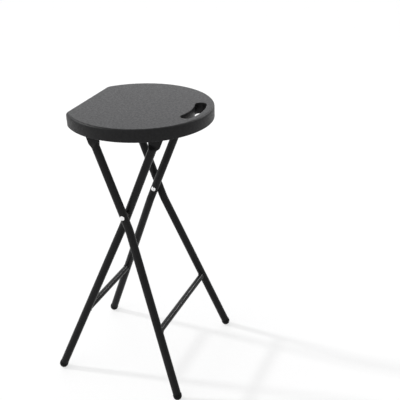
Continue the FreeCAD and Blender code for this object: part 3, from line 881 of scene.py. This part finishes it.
@dataclass
class LegPair:
    """Two bent tubes with pressed-flat tops, their crossbar and their foot caps."""

    name: str
    body: str
    eye: Vector
    pivot: Vector
    splay: float
    tube_radius: float = 8.5 * MM
    section_points: int = 64
    wall: float = 1.5 * MM
    press_spread: float = 1.5 * MM
    # The share of a flattened ring's points that lie on its half-round edges.
    edge_share: float = 0.4
    # The half width of the tongue's first ring, in walls, so that it isn't a line.
    tip_least: float = 1.02
    tip_steps: int = 10
    flat_drop: float = 33 * MM
    round_drop: float = 45 * MM
    taper_steps: int = 10
    straight_steps: int = 4
    dimple_depth: float = 0.6 * MM
    dimple_radius: float = 5.3 * MM
    dimple_fade: float = 2.2 * MM
    dimple_steps: int = 20
    bend_radius: float = 80 * MM
    bend_steps: int = 10
    lower_steps: int = 14
    foot_radius: float = 9.2 * MM
    foot_collar: float = 4 * MM
    foot_lip: float = 0.5 * MM
    foot_lip_steps: int = 4
    foot_steps: int = 16
    bar_radius: float = 6.75 * MM
    bar_steps: int = 12
    bead_radius: float = 1.5 * MM
    bead_points: int = 12
    bead_ripple: float = 0.25 * MM
    bead_ripples: int = 26
    weld_points: int = 72
    weld_rounds: int = 6
    down: Vector = field(init=False)
    wide: Vector = field(init=False)
    foot: Vector = field(init=False)
    bend: Vector = field(init=False)
    lower: Vector = field(init=False)

    def __post_init__(self) -> None:
        """Work out the left leg's line from the frame."""
        self.down = (self.pivot - self.eye).normalized()
        self.wide = self.down.cross(ACROSS)
        half_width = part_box(f"{self.name}_leg_left")[0].y + self.tube_radius
        self.eye = Vector((self.eye.x, half_width, self.eye.z))
        self.pivot = Vector((self.pivot.x, half_width, self.pivot.z))
        self.foot = next(Vector(mount["pos_m"]) for mount in frame["record"]["mounts"]
                         if mount["name"] == f"{self.name}_foot_left")
        self.foot.z = self.pivot.z + (self.foot.x - self.pivot.x) * self.down.z / self.down.x
        drop = (self.foot - self.pivot).dot(self.down)
        self.bend = self.pivot + self.down * (drop - (self.foot.y - half_width) / math.tan(self.splay))
        self.lower = (self.foot - self.bend).normalized()

    def line(self) -> Course:
        """Follow the tube's middle, from below the tongue to the foot cap.

        Returns:
            Points with the tube's directions.
        """
        top = self.eye + self.down * self.round_drop
        start = self.bend - self.down * self.bend_radius * math.tan(self.splay / 2)
        end = self.foot - self.lower * self.foot_collar
        crossing = (self.pivot - top).length
        near = self.dimple_radius + self.dimple_fade
        drops = spread(0.0, crossing - near, self.straight_steps)[1:-1]
        drops += spread(crossing - near, crossing + near, self.dimple_steps)
        drops += spread(crossing + near, (start - top).length, self.straight_steps)[1:-1]
        line = [(top + self.down * drop, self.down) for drop in drops]
        side = (self.lower - self.down * self.lower.dot(self.down)).normalized()
        middle = start + side * self.bend_radius
        for angle in spread(0.0, self.splay, self.bend_steps):
            direction = self.down * math.cos(angle) + side * math.sin(angle)
            outwards = self.down * math.sin(angle) - side * math.cos(angle)
            line.append((middle + outwards * self.bend_radius, direction))
        low, shares = line[-1][0], spread(0.0, 1.0, self.lower_steps)[1:]
        return line + [(low.lerp(end, share), self.lower) for share in shares]

    def section(self, centre: Vector, direction: Vector, flatness: float, half_width: float) -> Ring:
        """Make one ring of the tube.

        Args:
            centre: Its middle.
            direction: The tube's direction there.
            flatness: From 0, round, to 1, pressed flat.
            half_width: Half of the flattened width.

        Returns:
            The ring's points.
        """
        across = direction.cross(self.wide).normalized()
        ring = []
        for angle in whole(self.section_points):
            plain = Vector((math.cos(angle), math.sin(angle))) * self.tube_radius
            x, y = plain.lerp(self.stadium(angle, half_width - self.wall), flatness)
            ring.append(centre + self.wide * x + across * y)
        return ring

    def stadium(self, angle: float, straight: float) -> Vector:
        """Find a point of a flattened tube's outline: straight sides and half-round edges.

        Args:
            angle: The point's angle about the middle, while the tube was round.
            straight: Half of the straight sides' length.

        Returns:
            The point, along the width and across it.
        """
        swing = abs((angle + QUARTER_TURN) % HALF_TURN - QUARTER_TURN) / QUARTER_TURN
        if swing < self.edge_share:
            turn = swing / self.edge_share * QUARTER_TURN
            x, y = straight + self.wall * math.cos(turn), self.wall * math.sin(turn)
        else:
            x, y = straight * (1 - swing) / (1 - self.edge_share), self.wall
        return Vector((math.copysign(x, math.cos(angle)), math.copysign(y, math.sin(angle))))

    def pressed(self, point: Vector) -> Vector:
        """Find where the rivet's heads, which flattened the tube, left one of its points.

        Args:
            point: The point before.

        Returns:
            The point after.
        """
        away = math.hypot(point.x - self.pivot.x, point.z - self.pivot.z)
        fade = smooth((away - self.dimple_radius) / self.dimple_fade)
        limit = self.tube_radius - self.dimple_depth * (1 - fade)
        aside = point.y - self.pivot.y
        if fade < 1.0 and abs(aside) > limit:
            point.y = self.pivot.y + math.copysign(limit, aside)
        return point

    def tube_rings(self) -> list[Ring]:
        """Go down the left leg, from the round end about its hole to the foot.

        Returns:
            The rings.
        """
        full = self.wall + (self.tube_radius - self.wall) * QUARTER_TURN + self.press_spread / 2
        least = self.wall * self.tip_least
        rings = [self.section(self.eye - self.down * full * c, self.down, 1.0, max(full * s, least))
                 for s, c in quarter(self.tip_steps)]
        for share in spread(0.0, 1.0, self.taper_steps):
            drop = self.flat_drop + (self.round_drop - self.flat_drop) * share
            rings.append(self.section(self.eye + self.down * drop, self.down, 1 - smooth(share), full))
        rings += [self.section(point, direction, 0.0, full) for point, direction in self.line()]
        return [[self.pressed(point) for point in ring] for ring in rings]

    def foot_rings(self) -> list[Ring]:
        """Make the left foot cap: a collar and a dome with its small flat on the floor.

        Returns:
            The rings.
        """
        lip, top = self.foot_lip, -self.foot_collar
        profile = [(top, self.tube_radius - self.wall)]
        profile += [(top + lip * (1 - c), self.foot_radius - lip * (1 - s))
                    for s, c in quarter(self.foot_lip_steps)]
        profile += [(self.foot_radius * s, self.foot_radius * c) for s, c in quarter(self.foot_steps)]
        rings = lathe(self.foot, self.lower, profile)
        return [[Vector((point.x, point.y, max(point.z, 0.0))) for point in ring] for ring in rings]

    def crossbar_rings(self) -> list[Ring]:
        """Make the crossbar, which runs a little way into both tubes.

        Returns:
            The rings.
        """
        centre = node_centre(f"{self.name}_crossbar")
        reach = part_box(f"{self.name}_crossbar")[1].y
        profile = [(distance, self.bar_radius) for distance in spread(0.0, 2 * reach, self.bar_steps)]
        return lathe(Vector((centre.x, -reach, centre.z)), ACROSS, profile)

    def weld_line(self) -> Ring:
        """Follow the closed line on which the crossbar meets the left tube.

        The tube leans, so each point comes nearer to its place in a few rounds.

        Returns:
            The line's points.
        """
        centre = node_centre(f"{self.name}_crossbar")
        line = []
        for angle in whole(self.weld_points):
            point = centre + Vector((math.cos(angle), 0.0, math.sin(angle))) * self.bar_radius
            for _ in range(self.weld_rounds):
                axis = self.bend + self.lower * (point - self.bend).dot(self.lower)
                flat = point - axis
                flat.y = 0.0
                flat -= self.lower * flat.dot(self.lower)
                inward = math.sqrt(max(self.tube_radius ** 2 - flat.length_squared, 0.0))
                point.y = axis.y - inward / math.sqrt(1 - self.lower.y ** 2)
            line.append(point)
        return line

    def welds(self) -> None:
        """Weld beads, rippled as they were laid, round both ends of the crossbar."""
        node = f"{self.name}_crossbar"
        centre = node_centre(node)
        pattern = Pattern(f"{self.name}_weld_bead", {
            "Bead radius": self.bead_radius, "Ripple": self.bead_ripple, "Ripples": self.bead_ripples,
            "Centre X": centre.x, "Centre Z": centre.z})
        curve = pattern.add("GeometryNodeMeshToCurve", {}, pattern["Places"])
        profile = pattern.add("GeometryNodeCurvePrimitiveCircle", {}, self.bead_points,
                              Radius=pattern["Bead radius"])
        bead = pattern.add("GeometryNodeCurveToMesh", {}, curve, profile)
        x, _, z = pattern.place()
        angle = (z - pattern["Centre Z"]).maths("ARCTAN2", x - pattern["Centre X"])
        wave = (angle * pattern["Ripples"]).maths("SINE") * pattern["Ripple"]
        normal = pattern.add("GeometryNodeInputNormal", {})
        swell = pattern.add("ShaderNodeVectorMath", {"operation": "SCALE"}, normal, Scale=wave)
        bead = pattern.add("GeometryNodeSetPosition", {}, bead, Offset=swell)
        line, count = self.weld_line(), self.weld_points
        points = [Vector((point.x, point.y * side.value, point.z)) for side in Side for point in line]
        edges = [(start + k, start + (k + 1) % count) for start in (0, count) for k in range(count)]
        places = mesh_of("weld_lines", points, edges=edges)
        pattern.bake(bead, places, f"{node}_welds", Slot.TUBE, self.body, node)

    def build(self) -> None:
        """Make and dress both legs, both foot caps, the crossbar and its welds."""
        for side in Side:
            mirror = Matrix.Diagonal((1, side.value, 1))
            for part, rings, slot in (("leg", self.tube_rings(), Slot.TUBE),
                                      ("foot_cap", self.foot_rings(), Slot.FOOT)):
                node = f"{self.name}_{part}_{side.word}"
                points, faces = loft(rings)
                mesh = mesh_of(node, [mirror @ point for point in points], faces)
                add_piece(f"{node}_skin", mesh, slot, self.body, node)
        node = f"{self.name}_crossbar"
        bar = mesh_of(node, *loft(self.crossbar_rings()))
        add_piece(f"{node}_skin", bar, Slot.TUBE, self.body, node)
        self.welds()


@dataclass
class Fasteners:
    """Rivets at the crossing, hinge pins, the brackets' screws and the hooked top bar."""

    head_radius: float = 5 * MM
    head_height: float = 2.6 * MM
    head_rim: float = 0.4 * MM
    head_turns: int = 40
    head_rings: int = 8
    shank_radius: float = 3 * MM
    sheet: float = 2 * MM
    screw_inset: float = 6.5 * MM
    screw_head_radius: float = 3.5 * MM
    screw_shank_radius: float = 1.75 * MM
    screw_length: float = 7.5 * MM
    screw_turns: int = 32
    recess_width: float = 0.9 * MM
    recess_span: float = 4.2 * MM
    recess_depth: float = 1.2 * MM
    bar_chamfer: float = 0.6 * MM
    seed: int = 5

    def domed_head(self, pattern: Pattern) -> Wire:
        """Make a rivet head that sits at z = 0: a low rim under a shallow ball.

        Args:
            pattern: The tree that it belongs to.

        Returns:
            The head.
        """
        radius, rim = pattern["Head radius"], pattern["Head rim"]
        rise = pattern["Head height"] - rim
        disc = pattern.add("GeometryNodeMeshCylinder", {"fill_type": "TRIANGLE_FAN"}, self.head_turns,
                           Fill_Segments=self.head_rings, Radius=radius, Depth=rim)
        x, y, z = pattern.place()
        ball = (radius * radius + rise * rise) / (rise * 2)
        crown = (ball * ball - x * x - y * y).maths("SQRT") - ball + rise
        height = (z / rim + 0.5) * (crown + rim)
        return pattern.add("GeometryNodeSetPosition", {}, disc, Position=pattern.combine(x, y, height))

    def rivets(self, name: str, body: str, nodes: list[str]) -> None:
        """Make rivets across the stool, each as long as the node that it stands for.

        Args:
            name: The new piece's name.
            body: The body that it rides on.
            nodes: The rivets' CAD nodes.
        """
        low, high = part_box(nodes[0])
        pattern = Pattern(name, {
            "Head radius": self.head_radius, "Head height": self.head_height, "Head rim": self.head_rim,
            "Shank radius": self.shank_radius, "Grip": high.y - low.y - 2 * self.head_height})
        half = pattern["Grip"] / 2
        upper = pattern.move(self.domed_head(pattern), 0.0, 0.0, half)
        lower = pattern.add("GeometryNodeTransform", {}, upper, Rotation=(HALF_TURN, 0.0, 0.0))
        shank = pattern.cylinder(pattern["Shank radius"], pattern["Grip"], half * -1)
        rivet = pattern.join(upper, lower, shank)
        rivets = pattern.on_places(rivet, Rotation=(QUARTER_TURN, 0.0, 0.0))
        places = mesh_of(f"{name}_places", [node_centre(node) for node in nodes])
        pattern.bake(rivets, places, name, Slot.ZINC, body, *nodes)

    def screws(self) -> None:
        """Countersunk screws with cross recesses, each left at a turn of its own."""
        places = []
        for low, high in (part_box(bracket) for bracket in BRACKETS):
            places += [Vector((x, (low.y + high.y) / 2, high.z - self.sheet))
                       for x in (low.x + self.screw_inset, high.x - self.screw_inset)]
        pattern = Pattern("countersunk_screw", {
            "Head radius": self.screw_head_radius, "Shank radius": self.screw_shank_radius,
            "Length": self.screw_length, "Recess width": self.recess_width,
            "Recess span": self.recess_span, "Recess depth": self.recess_depth})
        radius, shank = pattern["Head radius"], pattern["Shank radius"]
        head_depth = radius - shank
        cone = pattern.add("GeometryNodeMeshCone", {}, self.screw_turns, Radius_Top=shank,
                           Radius_Bottom=radius, Depth=head_depth)
        span, width, deep = pattern["Recess span"], pattern["Recess width"], pattern["Recess depth"] * 2
        arms = [pattern.add("GeometryNodeMeshCube", {}, pattern.combine(*size))
                for size in ((span, width, deep), (width, span, deep))]
        rod = pattern.cylinder(shank, pattern["Length"] - head_depth, head_depth)
        screw = pattern.join(pattern.cut(cone, pattern.join(*arms)), rod)
        turn = pattern.add("FunctionNodeRandomValue", {"data_type": "FLOAT"}, out=1, Seed=self.seed)
        screws = pattern.on_places(screw, Rotation=pattern.combine(0.0, 0.0, turn * HALF_TURN))
        pattern.bake(screws, mesh_of("screw_places", places), "bracket_screw_set",
                     Slot.ZINC, "seat", "bracket_screws")

    def top_bar(self) -> None:
        """The bar through the inner legs' flat tops, with its ends broken."""
        low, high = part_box("inner_top_bar")
        radius, length, edge = (high.x - low.x) / 2, high.y - low.y, self.bar_chamfer
        profile = [(0.0, radius - edge), (edge, radius), (length - edge, radius), (length, radius - edge)]
        start = Vector(((low.x + high.x) / 2, low.y, (low.z + high.z) / 2))
        bar = mesh_of("top_bar", *loft(lathe(start, ACROSS, profile)))
        add_piece("inner_top_bar_skin", bar, Slot.TUBE, "inner_frame", "inner_top_bar")

    def dress_nodes(self, slot: Slot, nodes: Iterable[str]) -> None:
        """Give CAD nodes that stay a better material.

        Args:
            slot: The record's slot that they are finished as.
            nodes: The nodes.
        """
        for node in nodes:
            set_material(frame["nodes"][node], material_of(slot))
            log.info("%s keeps its own form", node)

    def build(self) -> None:
        """Make and dress every fastener, and give the nodes that stay their finish."""
        self.rivets("pivot_rivet_pair", "outer_frame", both_sides("pivot_rivet"))
        self.rivets("hinge_pin_pair", "seat", both_sides("hinge_pin"))
        self.screws()
        self.top_bar()
        self.dress_nodes(Slot.BRACKET, BRACKETS)
        self.dress_nodes(Slot.SPACER, both_sides("hinge_bushes", "pivot_spacer"))


@dataclass
class Studio:
    """Pale floor, soft light and the camera at the photograph's view."""

    azimuth: float = math.radians(18.565)
    elevation: float = math.radians(23.893)
    distance: float = 1.70584
    aim: Triple = (0.22276, 0.0, 0.43876)
    lens: float = 76.10
    sensor: float = 36.0
    shift: Span = (-0.1018, -0.0347)
    floor_size: float = 40.0
    # How much of the floor shows as plain white, over the light and shadow that fall on it.
    floor_glow: float = 0.62
    floor_colour: tuple[float, float, float, float] = (0.88, 0.88, 0.88, 1.0)
    fuller_side: Triple = (-0.95, -0.2, 0.2)
    side_span: Span = (-0.6, 0.7)
    far_level: float = 0.05
    near_level: float = 1.2
    lamp_angle: float = math.radians(5.0)
    lamp_travel: Triple = (1.34, 0.06, -1.0)
    lamp_level: float = 0.32
    back_travel: Triple = (-0.335, -0.785, -0.521)
    back_energy: float = 0.8
    panel_place: Triple = (-0.70, 2.09, 1.45)
    panel_aim: Triple = (0.0, 0.0, 0.5)
    panel_size: Span = (2.4, 1.0)
    panel_level: float = 1.25
    panel_colour: Triple = (0.965, 0.965, 1.0)

    def build(self) -> None:
        """Make the camera, the world, the lamps and the floor."""
        self.camera()
        self.world()
        travel = Vector(self.lamp_travel)
        self.far_lamp("far_lamp", travel, self.lamp_level * math.pi / -travel.normalized().z, True)
        self.panel()
        self.far_lamp("back_lamp", Vector(self.back_travel), self.back_energy, False)
        self.floor()

    def put(self, name: str, data: bpy.types.ID, place: Vector, forward: Vector) -> bpy.types.Object:
        """Set a camera or lamp in the scene, facing a direction.

        Args:
            name: The object's name.
            data: The camera or lamp.
            place: Where it stands.
            forward: Where it faces.

        Returns:
            The new object.
        """
        thing = add_object(name, data)
        thing.location = place
        thing.rotation_euler = forward.to_track_quat("-Z", "Y").to_euler()
        return thing

    def camera(self) -> None:
        """Place the camera."""
        forward = Vector((-math.cos(self.elevation) * math.sin(self.azimuth),
                          math.cos(self.elevation) * math.cos(self.azimuth),
                          -math.sin(self.elevation)))
        data = bpy.data.cameras.new("camera")
        data.lens = self.lens
        data.sensor_width = self.sensor
        data.shift_x, data.shift_y = self.shift
        place = Vector(self.aim) - forward * self.distance
        bpy.context.scene.camera = self.put("camera", data, place, forward)

    def seen(self, graph: Graph) -> Wire:
        """Tell rays that show a surface from those that only light the object.

        Args:
            graph: The tree that asks.

        Returns:
            1 for rays from the camera, from gloss or through glass, and 0 for the rest.
        """
        path = graph.node("ShaderNodeLightPath", {}, {})
        names = ("Is Camera Ray", "Is Glossy Ray", "Is Transmission Ray")
        camera, gloss, glass = (Wire(graph, path.outputs[name]) for name in names)
        return camera.maths("MAXIMUM", gloss).maths("MAXIMUM", glass)

    def world(self) -> None:
        """White where it is seen, and a plain light on the object that is fuller from one side."""
        world = bpy.data.worlds.new("studio")
        bpy.context.scene.world = world
        world.use_nodes = True
        graph = Graph(world.node_tree)
        direction = graph.add("ShaderNodeTexCoord", {}, out="Generated")
        facing = graph.add("ShaderNodeVectorMath", {"operation": "DOT_PRODUCT"}, direction,
                           self.fuller_side, out="Value")
        level = graph.ramp(facing, *self.side_span, self.far_level, self.near_level)
        seen = self.seen(graph)
        background = world.node_tree.nodes["Background"]
        graph.put(background, "Color", WHITE)
        graph.put(background, "Strength", seen + (1.0 - seen) * level)

    def far_lamp(self, name: str, travel: Vector, energy: float, shadow: bool) -> None:
        """Add a lamp that is far away.

        One stands on the hinges' side and draws the soft shadows on the floor. A faint one behind
        the stool draws the narrow light line on the crossbars.

        Args:
            name: Its name.
            travel: The way that its light goes.
            energy: Its strength.
            shadow: Whether it throws shadows.
        """
        data = bpy.data.lights.new(name, "SUN")
        data.angle = self.lamp_angle
        data.energy = energy
        data.use_shadow = shadow
        self.put(name, data, Vector(), travel)

    def panel(self) -> None:
        """A wide soft panel behind the stool, which the sitting face and the tubes reflect."""
        data = bpy.data.lights.new("back_panel", "AREA")
        data.shape = "RECTANGLE"
        data.size, data.size_y = self.panel_size
        data.energy = self.panel_level * math.pi * data.size * data.size_y
        data.color = self.panel_colour
        place = Vector(self.panel_place)
        self.put("back_panel", data, place, Vector(self.panel_aim) - place)

    def floor(self) -> None:
        """A pale floor that shows as white and keeps the stool's shadow."""
        half = self.floor_size / 2
        corners = [Vector((x * half, y * half, 0.0)) for x, y in ((-1, -1), (1, -1), (1, 1), (-1, 1))]
        floor = add_object("floor", mesh_of("floor", corners, [range(4)]))
        material = bpy.data.materials.new("pale_floor")
        material.use_nodes = True
        graph = Graph(material.node_tree)
        nodes = material.node_tree.nodes
        nodes.remove(nodes["Principled BSDF"])
        diffuse = graph.add("ShaderNodeBsdfDiffuse", {}, self.floor_colour)
        glow = graph.add("ShaderNodeEmission", {}, WHITE)
        mixed = graph.add("ShaderNodeMixShader", {}, self.seen(graph) * self.floor_glow, diffuse, glow)
        graph.put(nodes["Material Output"], "Surface", mixed)
        set_material(floor, material)


def main() -> None:
    """Build the stool and its studio."""
    bpy.context.scene.view_settings.view_transform = "Standard"
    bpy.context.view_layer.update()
    Studio().build()
    Seat().build()
    hinge, pivot, top_bar = joint_place("seat_fold"), joint_place("scissor"), node_centre("inner_top_bar")
    LegPair("outer", "outer_frame", hinge, pivot, splay=math.radians(10)).build()
    LegPair("inner", "inner_frame", top_bar, pivot, splay=math.radians(9)).build()
    Fasteners().build()


if __name__ == "__main__":
    main()
